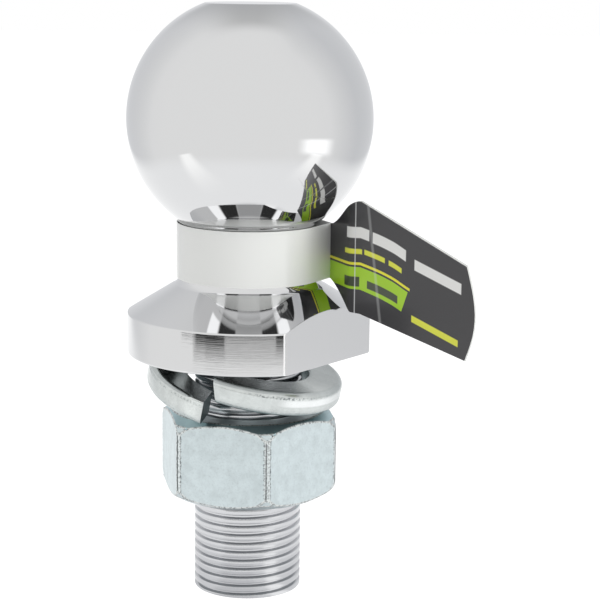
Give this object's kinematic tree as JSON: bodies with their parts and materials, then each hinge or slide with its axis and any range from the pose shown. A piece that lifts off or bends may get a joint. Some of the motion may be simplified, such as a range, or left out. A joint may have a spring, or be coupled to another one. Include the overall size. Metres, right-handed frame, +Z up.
{
  "type": "threaded tow ball",
  "caption": "Chromed towing ball on a threaded shank, with a conical flange that has two spanner flats, a spring washer, a hexagon nut and a wrap-round flag label on its neck.",
  "frame": {"origin": "centre of the shank's flat end face, on which the part stands", "axes": "+Z up along the shank to the ball; -Y is the side from which the flag's print is read"},
  "size_m": [0.068, 0.0571, 0.121],
  "materials": {
    "chrome": "polished chrome plating over turned steel",
    "bright_zinc": "bright zinc plating over wire steel",
    "blue_zinc": "blue passivated zinc plating, finely mottled",
    "printed_film": "glossy printed film, off-white on the strap and dark on the flag"
  },
  "bodies": {
    "ball": {"tow_ball": "chrome", "neck_label": "printed_film"},
    "washer": {"spring_washer": "bright_zinc"},
    "nut": {"hex_nut": "blue_zinc"}
  },
  "joints": [
    {"name": "washer_slide", "type": "slide", "parent": "ball", "child": "washer", "axis": [0, 0, 1], "range_m": [-0.039, 0]},
    {"name": "nut_thread", "type": "hinge", "parent": "washer", "child": "nut", "pos_m": [0, 0, 0.0293], "axis": [0, 0, 1], "range_deg": [-7700, 0]}
  ],
  "couplings": [
    {"joint": "washer_slide", "follows": "nut_thread", "m_per_rad": 0.00028875}
  ]
}
